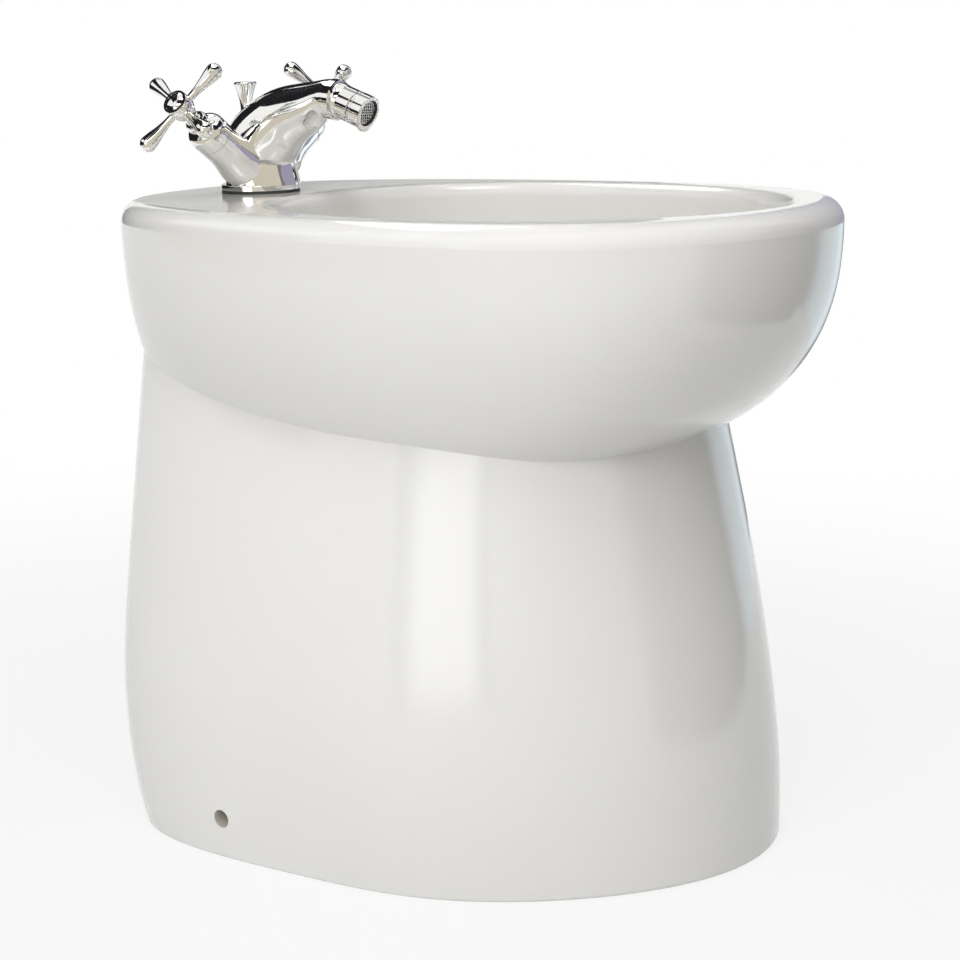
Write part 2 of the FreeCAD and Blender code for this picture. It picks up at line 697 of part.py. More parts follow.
def make_bonnet():
    low = ARM_END + GAP
    band = low + BONNET_BAND_H
    bell = BONNET_NECK_T - band
    drop = BONNET_R - BONNET_NECK_R
    shape = ((1.0, 0.0), (1.01, 0.20), (0.95, 0.47), (0.75, 0.70), (0.40, 0.88), (0.0, 1.0))
    flank = [(BONNET_NECK_R + drop * r, band + bell * t) for r, t in shape]
    seat = HEADWORK_COLLAR_R + GAP
    seat_top = ARM_END + HEADWORK_COLLAR_H + GAP
    roof = HEADWORK_SLEEVE_END + GAP
    edges = [line((BONNET_R, low), flank[0])]
    edges.append(curve(flank))
    edges.append(arc(flank[-1], (BONNET_BEAD_R, BONNET_BEAD_T), (BONNET_TOP_R, BONNET_TOP_T)))
    edges += chain([
        (BONNET_TOP_R, BONNET_TOP_T), (BONNET_BORE_R, BONNET_TOP_T), (BONNET_BORE_R, roof),
        (BONNET_INNER_R, roof), (BONNET_INNER_R, seat_top), (seat, seat_top), (seat, low), (BONNET_R, low),
    ])
    return turned(edges)


def cross_arm():
    # One arm along +Z: slim at the hub, swelling to a rounded end.
    span = CROSS_BALL - CROSS_ROOT
    swell = CROSS_BALL_R - CROSS_ROOT_R
    shape = ((0.0, 0.0), (-0.02, 0.29), (0.27, 0.57), (0.80, 0.84), (1.0, 1.0))
    flank = [(CROSS_ROOT_R + swell * r, CROSS_ROOT + span * t) for r, t in shape]
    return turned([
        line((0, CROSS_ROOT), flank[0]),
        curve(flank),
        dome(CROSS_BALL_R, CROSS_BALL, CROSS_TIP),
        line((0, CROSS_TIP), (0, CROSS_ROOT)),
    ])


def make_handle(rest):
    bore = SPINDLE_R + PUSH_GAP
    stop = SPINDLE_TOP + SEAT_GAP
    screw = SCREW_R + SEAT_GAP
    head = SCREW_HEAD_R + GAP
    seat = CAP_R + SEAT_GAP
    skirt = HUB_SKIRT + HUB_SKIRT_H
    flare = HUB_R - HUB_STEM_R
    shape = ((0.0, 1.0), (0.12, 0.68), (0.72, 0.34), (1.0, 0.0))
    bulb = [(HUB_STEM_R + flare * r, skirt * t) for r, t in shape]
    bulb.append((HUB_NECK_R, HUB_NECK_Z))
    edges = chain([(bore, HUB_SKIRT), (HUB_STEM_R, HUB_SKIRT), bulb[0]])
    edges.append(curve(bulb))
    edges += chain([
        bulb[-1], (HUB_RIM_R, HUB_RIM_Z), (HUB_RIM_R, HUB_TOP), (seat, HUB_TOP), (seat, CAP_SEAT_Z),
        (head, CAP_SEAT_Z), (head, SCREW_SEAT_Z), (screw, SCREW_SEAT_Z), (screw, stop), (bore, stop),
        (bore, HUB_SKIRT),
    ])
    solid = turned(edges)
    for i in range(4):
        arm = cross_arm()
        arm.rotate(ORIGIN, Y_AXIS, 90)
        arm.rotate(ORIGIN, Z_AXIS, 90.0 * i)
        solid = solid.fuse(arm)
    core = turned_points([
        (0, HUB_SKIRT - OVERCUT), (bore, HUB_SKIRT - OVERCUT), (bore, stop), (screw, stop),
        (screw, SCREW_SEAT_Z), (head, SCREW_SEAT_Z), (head, HUB_TOP + OVERCUT), (0, HUB_TOP + OVERCUT),
    ])
    solid = solid.cut(core)
    solid.rotate(ORIGIN, Z_AXIS, rest)
    return solid.Solids[0]


def make_handle_screw():
    top = SCREW_SEAT_Z + SCREW_HEAD_H
    head = cylinder(SCREW_HEAD_R, SCREW_SEAT_Z, top)
    slot = box(-HUB_R, HUB_R, -SCREW_SLOT / 2.0, SCREW_SLOT / 2.0, top - SCREW_SLOT, top + OVERCUT)
    return head.fuse(cylinder(SCREW_R, -SCREW_DEPTH, SCREW_SEAT_Z + GAP)).cut(slot)


def make_index_cap():
    low = CAP_SEAT_Z + PLUG_SEAL_GAP
    return turned([
        line((0, low), (CAP_R, low)),
        line((CAP_R, low), (CAP_R, CAP_EDGE_Z)),
        dome(CAP_R, CAP_EDGE_Z, CAP_TOP_Z),
        line((0, CAP_TOP_Z), (0, low)),
    ])


# Spout end and nozzle, built about +Z with the ball's centre at the origin
def make_spout_ring():
    seat = BALL_R + SEAT_GAP + SHAFT_GAP
    roof = BALL_R + RING_DOME
    spigot = RING_R - RING_WALL
    low = SEAT_GAP - SPOUT_END
    shelf = GAP - SOCKET_GAP
    a = (on_sphere(roof, SEAT_GAP), SEAT_GAP)
    b = (RING_MOUTH_R, on_sphere(roof, RING_MOUTH_R))
    c = (RING_MOUTH_R, on_sphere(seat, RING_MOUTH_R))
    d = (on_sphere(seat, shelf), shelf)
    edges = chain([(spigot, low), (RING_R, low), (RING_R, -SEAT_GAP), (RING_R - RING_EDGE, SEAT_GAP), a])
    edges.append(sphere_arc(roof, a, b))
    edges.append(line(b, c))
    edges.append(sphere_arc(seat, c, d))
    edges += chain([d, (spigot, shelf), (spigot, low)])
    return turned(edges)


def make_swivel_seal():
    inner = BALL_R + SEAT_GAP
    outer = inner + SEAL_T
    low = math.radians(SEAL_LOW)
    high = math.radians(SEAL_HIGH)
    a = (inner * math.cos(low), inner * math.sin(low))
    b = (outer * math.cos(low), outer * math.sin(low))
    c = (outer * math.cos(high), outer * math.sin(high))
    d = (inner * math.cos(high), inner * math.sin(high))
    return turned([line(a, b), sphere_arc(outer, b, c), line(c, d), sphere_arc(inner, d, a)])


def make_swivel_nozzle():
    cup = BALL_R + CUP_GAP
    a = (NOZZLE_BORE_R, -on_sphere(BALL_R, NOZZLE_BORE_R))
    b = (NOZZLE_NECK_R, on_sphere(BALL_R, NOZZLE_NECK_R))
    c = (NOZZLE_NECK_R, on_sphere(cup, NOZZLE_NECK_R))
    d = (BARREL_R, on_sphere(cup, BARREL_R))
    edges = [sphere_arc(BALL_R, a, b), line(b, c), sphere_arc(cup, c, d)]
    edges += chain([
        d, (BARREL_R, BARREL_END - BARREL_EDGE), (BARREL_R - BARREL_EDGE, BARREL_END),
        (NOZZLE_SPIGOT_R, BARREL_END), (NOZZLE_SPIGOT_R, NOZZLE_SPIGOT_END),
        (NOZZLE_BORE_R, NOZZLE_SPIGOT_END), a,
    ])
    return turned(edges)


def make_nozzle_collar():
    bore = NOZZLE_SPIGOT_R + SEAT_GAP
    low = BARREL_END + GAP
    edge = COLLAR_R - COLLAR_EDGE
    groove = low + 4.0 * COLLAR_EDGE
    lip = COLLAR_FACE - COLLAR_LIP_T
    return turned_points([
        (bore, low), (edge, low), (COLLAR_R, low + COLLAR_EDGE), (COLLAR_R, groove - COLLAR_GROOVE),
        (COLLAR_R - COLLAR_GROOVE, groove), (COLLAR_R - COLLAR_GROOVE, groove + COLLAR_EDGE),
        (COLLAR_R, groove + COLLAR_EDGE + COLLAR_GROOVE), (COLLAR_R, COLLAR_FACE - COLLAR_EDGE),
        (edge, COLLAR_FACE), (COLLAR_LIP_R, COLLAR_FACE), (COLLAR_LIP_R, lip), (bore, lip),
    ])


def make_aerator_ring():
    low = NOZZLE_SPIGOT_END + COLLAR_GROOVE
    top = COLLAR_FACE - COLLAR_LIP_T - COLLAR_GROOVE
    wall = SCREEN_R + SEAT_GAP
    return turned_points([
        (AERATOR_LEDGE_R, low), (NOZZLE_SPIGOT_R, low), (NOZZLE_SPIGOT_R, top), (wall, top),
        (wall, AERATOR_STEP_Z), (AERATOR_LEDGE_R, AERATOR_STEP_Z),
    ])


def make_aerator_screen():
    low = AERATOR_STEP_Z + PLUG_SEAL_GAP
    disc = cylinder(SCREEN_R, low, low + SCREEN_T)
    count = int(SCREEN_FIELD_R / SCREEN_PITCH) + 2
    holes = []
    for i in range(-count, count + 1):
        for j in range(-count, count + 1):
            x = SCREEN_PITCH * (i + 0.5 * j)
            y = SCREEN_PITCH * j * math.sqrt(3.0) / 2.0
            if math.hypot(x, y) < SCREEN_FIELD_R:
                holes.append(cylinder(SCREEN_HOLE_R, low - OVERCUT, low + SCREEN_T + OVERCUT, x, y))
    return disc.cut(holes)


# Lift rod and linkage
def make_lift_knob():
    low = KNOB_SEAT_Z + KNOB_LIFT
    top = low + KNOB_H
    bore = ROD_R + PUSH_GAP
    flare = KNOB_R - KNOB_FOOT_R
    shape = ((0.0, 0.0), (0.14, 0.32), (0.53, 0.65), (1.0, 0.90))
    flank = [(KNOB_FOOT_R + flare * r, low + KNOB_H * t) for r, t in shape]
    brow = (KNOB_R + KNOB_EDGE_R) / 2.0 + GAP
    edges = [line((bore, low), flank[0]), curve(flank)]
    edges.append(arc(flank[-1], (brow, low + 0.96 * KNOB_H), (KNOB_EDGE_R, top)))
    edges += chain([
        (KNOB_EDGE_R, top), (0, top), (0, low + ROD_IN_KNOB), (bore, low + ROD_IN_KNOB), (bore, low),
    ])
    knob = turned(edges)
    knob.translate(V(0, ROD_BACK, 0))
    return knob


def make_lift_rod():
    top = KNOB_SEAT_Z + KNOB_LIFT + ROD_IN_KNOB - SEAT_GAP
    return cylinder(ROD_R, ROD_END_Z, RIM_H + top, 0.0, ROD_Y)


def make_clevis_strap():
    screw_z = ROD_END_Z + CLEVIS_ABOVE / 2.0
    block = cylinder(CLEVIS_R, ROD_END_Z - CLEVIS_BELOW, ROD_END_Z + CLEVIS_ABOVE, 0.0, ROD_Y)
    strap = box(-STRAP_HALF, STRAP_HALF, ROD_Y - STRAP_T / 2.0, ROD_Y + STRAP_T / 2.0,
                STRAP_HOLE_Z - STRAP_BELOW, ROD_END_Z - CLEVIS_BELOW / 2.0)
    body = block.fuse(strap)
    cuts = [cylinder(ROD_R + PUSH_GAP, ROD_END_Z, ROD_END_Z + CLEVIS_ABOVE + OVERCUT, 0.0, ROD_Y)]
    cuts.append(rod_y(CLEVIS_SCREW_R, ROD_Y, ROD_Y + CLEVIS_R + OVERCUT, screw_z))
    for i in range(STRAP_HOLES):
        z = STRAP_HOLE_Z - STRAP_PITCH * i
        cuts.append(rod_y(LEVER_R + LEVER_HOLE_GAP, ROD_Y - STRAP_T, ROD_Y + STRAP_T, z))
    return body.cut(cuts).Solids[0]


def make_clevis_screw():
    screw_z = ROD_END_Z + CLEVIS_ABOVE / 2.0
    start = ROD_Y + ROD_R + PLUG_SEAL_GAP
    shank = rod_y(CLEVIS_SCREW_R - SHAFT_GAP, start, start + CLEVIS_SCREW_L, screw_z)
    head = rod_y(CLEVIS_HEAD_R, start + CLEVIS_SCREW_L, start + CLEVIS_SCREW_L + CLEVIS_HEAD_H, screw_z)
    return shank.fuse(head)


def make_lever_clip():
    # Folded spring strip: one leaf each side of the strap, joined by a fold beside the strap's edge.
    bottom = STRAP_HOLE_Z - CLIP_BOTTOM
    fold_top = STRAP_HOLE_Z - CLIP_FOLD_TOP
    reach = CLIP_REACH + CLIP_T
    clip = box(CLIP_SIDE - CLIP_T, CLIP_SIDE, ROD_Y - reach, ROD_Y + reach, bottom, fold_top)
    for y in (ROD_Y - reach, ROD_Y + CLIP_REACH):
        leaf = box(-CLIP_HALF, CLIP_HALF, y, y + CLIP_T, bottom, STRAP_HOLE_Z + CLIP_TOP)
        tab = box(CLIP_HALF - OVERCUT, CLIP_SIDE, y, y + CLIP_T, bottom, fold_top)
        clip = clip.fuse([leaf, tab])
    return clip.cut(rod_y(LEVER_R + LEVER_HOLE_GAP, ROD_Y - 2.0 * reach, ROD_Y + 2.0 * reach, STRAP_HOLE_Z)).Solids[0]


def make_ball_lever():
    rod = rod_y(LEVER_R, -PIVOT_OUT - LEVER_TIP, LEVER_ARM + LEVER_TAIL, 0.0)
    lever = rod.fuse(Part.makeSphere(PIVOT_BALL_R))
    lever.rotate(ORIGIN, X_AXIS, -LEVER_REST)
    lever.translate(V(0, DRAIN_Y + PIVOT_OUT, PIVOT_Z))
    return lever


# Waste, built about Z and moved to the drain
def to_drain(shape):
    moved = shape.copy()
    moved.translate(V(0, DRAIN_Y, 0))
    return moved


def to_port(shape):
    # A shape built along +Z is laid along +Y with its origin at the pivot ball's centre.
    moved = shape.copy()
    moved.rotate(ORIGIN, X_AXIS, -90)
    moved.translate(V(0, DRAIN_Y + PIVOT_OUT, PIVOT_Z))
    return moved


def make_waste_flange():
    top = FLANGE_LOW + FLANGE_T - FLANGE_SINK
    seat_z = FLANGE_LOW - FLANGE_SEAT_DROP
    throat = FLANGE_LOW - FLANGE_THROAT_DROP
    brow = (FLANGE_R - 0.3 * FLANGE_EDGE, FLANGE_LOW + FLANGE_T / 2.0)
    edges = chain([(TUBE_BORE, TUBE_END), (TUBE_R, TUBE_END), (TUBE_R, FLANGE_LOW), (FLANGE_R, FLANGE_LOW)])
    edges.append(arc((FLANGE_R, FLANGE_LOW), brow, (FLANGE_R - FLANGE_EDGE, top)))
    edges += chain([
        (FLANGE_R - FLANGE_EDGE, top), (FLANGE_MOUTH_R, top), (FLANGE_SEAT_R, seat_z),
        (FLANGE_SEAT_IN_R, seat_z), (TUBE_BORE, throat), (TUBE_BORE, TUBE_END),
    ])
    return to_drain(turned(edges))


def make_flange_gasket():
    return to_drain(tube(FLANGE_R - FLANGE_GASKET_INSET, DRAIN_HOLE_R + SEAT_GAP, FLANGE_LOW - FLANGE_GASKET_T, FLANGE_LOW))


def make_waste_tee():
    shoulder = TEE_BOTTOM + TEE_SHOULDER_UP
    lower_r = TEE_R - TEE_WALL_STEP
    socket = TUBE_R + SEAT_GAP + SHAFT_GAP
    ledge = shoulder + TEE_LEDGE
    stop = shoulder - TEE_STOP
    shell = turned_points([
        (TAIL_R, TEE_BOTTOM), (lower_r, TEE_BOTTOM), (lower_r, shoulder - TEE_SHOULDER_EASE),
        (TEE_R, shoulder + TEE_SHOULDER_EASE), (TEE_R, TEE_TOP), (socket, TEE_TOP), (socket, TUBE_END - SEAT_GAP),
        (TUBE_BORE, TUBE_END - SEAT_GAP), (TUBE_BORE, ledge), (TAIL_BORE, ledge), (TAIL_BORE, stop), (TAIL_R, stop),
    ])
    boss = rod_y(PORT_BOSS_R, TUBE_R + GAP, PORT_BOSS_END, PIVOT_Z)
    bore = rod_y(PORT_R, PIVOT_OUT - PORT_SEAT, PORT_BOSS_END + OVERCUT, PIVOT_Z)
    way = rod_y(PORT_WAY_R, PORT_SEAT, PORT_BOSS_END, PIVOT_Z)
    return to_drain(shell.fuse(boss).cut([bore, way]).Solids[0])


def ball_seat():
    ball = PIVOT_BALL_R + SEAT_GAP
    rim = PORT_R - SEAT_GAP
    low = math.radians(BALL_SEAT_ANGLE)
    a = (BALL_SEAT_HOLE_R, on_sphere(ball, BALL_SEAT_HOLE_R))
    b = (ball * math.cos(low), ball * math.sin(low))
    edges = [sphere_arc(ball, b, a)]
    edges += chain([a, (BALL_SEAT_HOLE_R, BALL_SEAT_END), (rim, BALL_SEAT_END), (rim, b[1]), b])
    return turned(edges)


def make_ball_seals():
    outer = ball_seat()
    inner = ball_seat()
    inner.rotate(ORIGIN, X_AXIS, 180)
    return Part.makeCompound([to_port(outer), to_port(inner)])


def make_ball_nut():
    body = hex_prism(BALL_NUT_ACROSS, -BALL_NUT_BACK, BALL_NUT_END)
    body = body.cut(cylinder(BALL_NUT_BORE_R, -BALL_NUT_BACK - OVERCUT, BALL_NUT_SEAT))
    body = body.cut(cylinder(BALL_SEAT_HOLE_R, 0.0, BALL_NUT_END + OVERCUT))
    return to_port(body)


def make_back_gasket():
    return to_drain(tube(BACK_GASKET_R, TUBE_R + GAP, CAVITY_TOP - BACK_GASKET_T, CAVITY_TOP))


def make_back_nut():
    top = CAVITY_TOP - BACK_GASKET_T
    nut = hex_prism(BACK_NUT_ACROSS, top - BACK_NUT_H, top)
    nut = nut.fuse(cylinder(BACK_NUT_FLANGE_R, top - BACK_NUT_FLANGE_T, top))
    return to_drain(nut.cut(cylinder(TUBE_R + SEAT_GAP + SHAFT_GAP, top - BACK_NUT_H - OVERCUT, top + OVERCUT)))


def make_waste_tail():
    free_top = TEE_BOTTOM - TAIL_STEP_DROP
    top = TEE_BOTTOM + TAIL_IN_TEE
    body = cylinder(TAIL_R, TAIL_END, free_top)
    body = body.fuse(cylinder(TAIL_R - GAP, free_top - OVERCUT, top))
    return to_drain(body.cut(cylinder(TAIL_BORE, TAIL_END - OVERCUT, top + OVERCUT)))


def make_waste_plug():
    low = PLUG_LOW
    edge = low + PLUG_EDGE_H
    cap = turned([
        line((0, low), (PLUG_R, low)),
        arc((PLUG_R, low), (PLUG_R + PLUG_EDGE_BULGE, low + PLUG_EDGE_H / 2.0), (PLUG_R, edge)),
        dome(PLUG_R, edge, low + PLUG_H),
        line((0, low + PLUG_H), (0, low)),
    ])
    eye_z = PIVOT_Z + PIVOT_OUT * math.tan(math.radians(LEVER_REST))
    stem = cylinder(PLUG_STEM_R, eye_z + PLUG_EYE_T, low + GAP)
    neck = cylinder(PLUG_NECK_R, low - PLUG_NECK_H, low + GAP)
    fin_top = low - PLUG_SEAL_T - GAP
    half = PLUG_FIN_T / 2.0
    fins = box(-PLUG_FIN_R, PLUG_FIN_R, -half, half, low - PLUG_FIN_H, fin_top)
    fins = fins.fuse(box(-half, half, -PLUG_FIN_R, PLUG_FIN_R, low - PLUG_FIN_H, fin_top))
    eye = rod_y(PLUG_EYE_R, -PLUG_EYE_T / 2.0, PLUG_EYE_T / 2.0, eye_z)
    body = cap.fuse([stem, neck, fins, eye])
    return to_drain(body.cut(rod_y(LEVER_R + PLUG_EYE_GAP, -PLUG_EYE_T, PLUG_EYE_T, eye_z)).Solids[0])


def make_plug_seal():
    return to_drain(tube(PLUG_R - PLUG_SEAL_INSET, PLUG_NECK_R + PLUG_SEAL_INSET,
                         PLUG_LOW - PLUG_SEAL_T, PLUG_LOW - PLUG_SEAL_GAP))


def build():
    export("ceramic_body", make_ceramic())
    on_deck = (
        ("mixer_body", make_mixer_body), ("base_gasket", make_base_gasket), ("fixing_stud", make_fixing_stud),
        ("half_moon_gasket", make_half_moon_gasket), ("half_moon_washer", make_half_moon_washer),
        ("fixing_nut", make_fixing_nut), ("lift_knob", make_lift_knob),
    )
    for name, maker in on_deck:
        export(name, to_deck(maker()))
    for name, side, rest in (("hot", -1, HOT_REST), ("cold", 1, COLD_REST)):
        pieces = (
            ("_headwork", make_headwork()), ("_spindle", make_spindle()), ("_bonnet", make_bonnet()),
            ("_handle", make_handle(rest)), ("_handle_screw", make_handle_screw()), ("_index_cap", make_index_cap()),
        )
        for ending, shape in pieces:
            export(name + ending, to_deck(on_handle_axis(shape, side)))
    spout = (
        ("spout_ring", make_spout_ring, SPOUT_TILT), ("swivel_seal", make_swivel_seal, SPOUT_TILT),
        ("swivel_nozzle", make_swivel_nozzle, NOZZLE_TILT), ("nozzle_collar", make_nozzle_collar, NOZZLE_TILT),
        ("aerator_ring", make_aerator_ring, NOZZLE_TILT), ("aerator_screen", make_aerator_screen, NOZZLE_TILT),
    )
    for name, maker, tilt in spout:
        export(name, to_deck(tilted(maker(), BALL_FWD, BALL_Z, tilt)))
    in_place = (
        ("lift_rod", make_lift_rod), ("clevis_strap", make_clevis_strap), ("clevis_screw", make_clevis_screw),
        ("lever_clip", make_lever_clip), ("ball_lever", make_ball_lever), ("ball_seals", make_ball_seals),
        ("ball_nut", make_ball_nut), ("waste_flange", make_waste_flange), ("flange_gasket", make_flange_gasket),
        ("waste_tee", make_waste_tee), ("back_gasket", make_back_gasket), ("back_nut", make_back_nut),
        ("waste_tail", make_waste_tail), ("waste_plug", make_waste_plug), ("plug_seal", make_plug_seal),
    )
    for name, maker in in_place:
        export(name, maker())


build()
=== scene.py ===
import json
import math
import bpy
from mathutils import Matrix, Vector
from mathutils.bvhtree import BVHTree


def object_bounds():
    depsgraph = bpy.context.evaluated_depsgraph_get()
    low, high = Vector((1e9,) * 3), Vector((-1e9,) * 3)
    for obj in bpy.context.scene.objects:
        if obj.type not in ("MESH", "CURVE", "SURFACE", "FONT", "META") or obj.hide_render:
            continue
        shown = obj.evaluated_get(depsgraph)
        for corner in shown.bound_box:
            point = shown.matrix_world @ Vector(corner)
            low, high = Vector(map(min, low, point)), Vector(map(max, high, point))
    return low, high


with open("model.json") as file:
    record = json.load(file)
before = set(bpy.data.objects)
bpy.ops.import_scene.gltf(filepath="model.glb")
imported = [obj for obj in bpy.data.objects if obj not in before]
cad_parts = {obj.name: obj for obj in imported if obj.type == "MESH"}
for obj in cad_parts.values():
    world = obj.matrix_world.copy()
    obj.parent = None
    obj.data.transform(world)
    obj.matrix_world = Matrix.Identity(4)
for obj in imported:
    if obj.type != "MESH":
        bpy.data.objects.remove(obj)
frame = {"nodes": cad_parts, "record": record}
cad_low, cad_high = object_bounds()
nodes = frame["nodes"]

UP = Vector((0.0, 0.0, 1.0))

# Camera, fitted to the photograph's outlines in a square frame
CAMERA_PLACE = Vector((-1.1791, -0.7904, 0.5022))
CAMERA_HEADING = -56.33
CAMERA_RISE = 11.52
CAMERA_ROLL = -1.375
CAMERA_LENS = 86.35
SENSOR = 36.0
NEAR_CLIP = 0.05
FAR_CLIP = 50.0

# Finishes
GLAZE_PALE = (0.815, 0.809, 0.790)
GLAZE_DEEP = (0.795, 0.788, 0.766)
BISQUE_PALE = (0.72, 0.69, 0.62)
BISQUE_DEEP = (0.62, 0.585, 0.51)
CHROME_PALE = (0.89, 0.885, 0.865)
CHROME_DEEP = (0.83, 0.825, 0.80)
BRASS_PALE = (0.78, 0.60, 0.31)
BRASS_DEEP = (0.60, 0.43, 0.19)
STEEL_PALE = (0.60, 0.60, 0.605)
STEEL_DEEP = (0.44, 0.44, 0.45)
RUBBER_PALE = (0.055, 0.054, 0.053)
RUBBER_DEEP = (0.028, 0.028, 0.029)
BLACK_PALE = (0.050, 0.050, 0.053)
BLACK_DEEP = (0.028, 0.028, 0.030)
WHITE_PALE = (0.80, 0.79, 0.75)
WHITE_DEEP = (0.70, 0.69, 0.64)

# The middle of a noise texture's range, which the roughness is spread over
NOISE_LOW = 0.3
NOISE_HIGH = 0.7

# Unglazed faces: how far a test ray starts from its face, and what counts as the foot
RAY_LIFT = 0.0005
FOOT_NORMAL = -0.9
FOOT_HEIGHT = 0.001

# Light
AMBIENT = 0.34
AMBIENT_TINT = (1.0, 0.985, 0.945)
SOFT_EDGE = 0.6
WHITE = (1.0, 1.0, 1.0)
COOL = (0.82, 0.93, 1.0)
DARK = (0.015, 0.015, 0.018)
GREY = (0.22, 0.21, 0.20)
PALE = (0.55, 0.55, 0.54)
LAVENDER = (0.36, 0.34, 0.45)
# Glow of the cards that only the chrome sees: a painted reflection of the ceramic deck
DECK_REFLECTION_TINT = (0.66, 0.61, 0.51)

# Floor: its white share grows with the distance from the object, counted in sizes of the foot
FLOOR_HALF = 8.0
FLOOR_GREY = 0.68
FLOOR_ROUGHNESS = 0.9
FLOOR_GLOSS = 0.1
FLOOR_SHARE = 0.84
FLOOR_SHARE_INSIDE = 0.10
FOOT_HALF_WIDTH = 0.165
FOOT_HALF_LENGTH = 0.205
FOOT_FADE = (0.8, 1.0)
FLOOR_FADE = (2.0, 7.0)

# What the lights and the cards face, and how far the cards stand from it
SUBJECT = Vector((0.0, 0.0, 0.25))
PEDESTAL = Vector((0.0, 0.0, 0.20))
BOWL = Vector((0.0, 0.0, 0.40))
TAP = Vector((0.0, 0.12, 0.43))
TAP_CARD_DISTANCE = 0.42
BOWL_CARD_DISTANCE = 0.75
GROUND_CARD_DISTANCE = 0.80
GROUND_CARD_DROP = 0.07


class Shading:
    """A material under construction: its node tree, its shader and its object coordinates."""

    def __init__(self, name):
        self.material = bpy.data.materials.new(name)
        self.material.use_nodes = True
        self.tree = self.material.node_tree
        self.shader = self.tree.nodes["Principled BSDF"]
        self.coords = self.tree.nodes.new("ShaderNodeTexCoord").outputs["Object"]
        self.normal = None

    def set(self, **values):
        for socket, value in values.items():
            self.shader.inputs[socket.replace("_", " ")].default_value = value

    def noise(self, scale, detail, stretch=None):
        coords = self.coords
        if stretch:
            mapping = self.tree.nodes.new("ShaderNodeMapping")
            mapping.inputs["Scale"].default_value = stretch
            self.tree.links.new(coords, mapping.inputs["Vector"])
            coords = mapping.outputs["Vector"]
        node = self.tree.nodes.new("ShaderNodeTexNoise")
        node.inputs["Scale"].default_value = scale
        node.inputs["Detail"].default_value = detail
        self.tree.links.new(coords, node.inputs["Vector"])
        return node.outputs["Fac"]

    def ramp(self, factor, low, high, start=0.35, end=0.65):
        node = self.tree.nodes.new("ShaderNodeValToRGB")
        node.color_ramp.elements[0].position = start
        node.color_ramp.elements[0].color = (*low, 1.0)
        node.color_ramp.elements[1].position = end
        node.color_ramp.elements[1].color = (*high, 1.0)
        self.tree.links.new(factor, node.inputs["Fac"])
        return node.outputs["Color"]

    def spread(self, factor, low, high):
        node = self.tree.nodes.new("ShaderNodeMapRange")
        node.inputs["From Min"].default_value = NOISE_LOW
        node.inputs["From Max"].default_value = NOISE_HIGH
        node.inputs["To Min"].default_value = low
        node.inputs["To Max"].default_value = high
        self.tree.links.new(factor, node.inputs["Value"])
        return node.outputs["Result"]

    def colour(self, socket):
        self.tree.links.new(socket, self.shader.inputs["Base Color"])

    def rough(self, socket):
        self.tree.links.new(socket, self.shader.inputs["Roughness"])

    def bump(self, factor, strength, depth):
        node = self.tree.nodes.new("ShaderNodeBump")
        node.inputs["Strength"].default_value = strength
        node.inputs["Distance"].default_value = depth
        self.tree.links.new(factor, node.inputs["Height"])
        if self.normal:
            self.tree.links.new(self.normal, node.inputs["Normal"])
        self.normal = node.outputs["Normal"]
        self.tree.links.new(self.normal, self.shader.inputs["Normal"])


def glaze():
    m = Shading("glazed_ceramic")
    m.colour(m.ramp(m.noise(scale=5.0, detail=4.0), GLAZE_DEEP, GLAZE_PALE))
    m.rough(m.spread(m.noise(scale=38.0, detail=4.0), low=0.08, high=0.13))
    m.set(IOR=1.52, Coat_Weight=0.25, Coat_Roughness=0.03)
    m.bump(m.noise(scale=22.0, detail=2.0), strength=0.10, depth=0.0010)
    m.bump(m.noise(scale=420.0, detail=2.0), strength=0.05, depth=0.0002)
    return m.material


def bisque():
    m = Shading("unglazed_ceramic")
    m.colour(m.ramp(m.noise(scale=16.0, detail=6.0), BISQUE_DEEP, BISQUE_PALE))
    m.rough(m.spread(m.noise(scale=90.0, detail=4.0), low=0.62, high=0.82))
    m.bump(m.noise(scale=260.0, detail=5.0), strength=0.35, depth=0.0006)
    return m.material


def chrome():
    m = Shading("chrome")
    m.colour(m.ramp(m.noise(scale=60.0, detail=4.0), CHROME_DEEP, CHROME_PALE, start=0.2, end=0.6))
    m.rough(m.spread(m.noise(scale=140.0, detail=5.0), low=0.04, high=0.08))
    m.set(Metallic=1.0)
    m.bump(m.noise(scale=70.0, detail=1.0), strength=0.04, depth=0.0003)
    return m.material


def brass():
    m = Shading("brass")
    m.colour(m.ramp(m.noise(scale=70.0, detail=5.0), BRASS_DEEP, BRASS_PALE))
    m.rough(m.spread(m.noise(scale=200.0, detail=4.0), low=0.22, high=0.42))
    m.set(Metallic=1.0)
    turned = m.noise(scale=900.0, detail=2.0, stretch=(0.15, 0.15, 1.0))
    m.bump(turned, strength=0.18, depth=0.0002)
    return m.material


def steel():
    m = Shading("brushed_steel")
    m.colour(m.ramp(m.noise(scale=80.0, detail=5.0), STEEL_DEEP, STEEL_PALE))
    streaks = m.noise(scale=700.0, detail=3.0, stretch=(1.0, 0.08, 1.0))
    m.rough(m.spread(streaks, low=0.24, high=0.42))
    m.set(Metallic=1.0)
    scratches = m.noise(scale=1200.0, detail=2.0, stretch=(1.0, 0.05, 1.0))
    m.bump(scratches, strength=0.12, depth=0.0001)
    return m.material


def rubber():
    m = Shading("rubber")
    m.colour(m.ramp(m.noise(scale=120.0, detail=5.0), RUBBER_DEEP, RUBBER_PALE))
    m.rough(m.spread(m.noise(scale=260.0, detail=4.0), low=0.62, high=0.85))
    m.bump(m.noise(scale=1500.0, detail=3.0), strength=0.25, depth=0.0002)
    return m.material


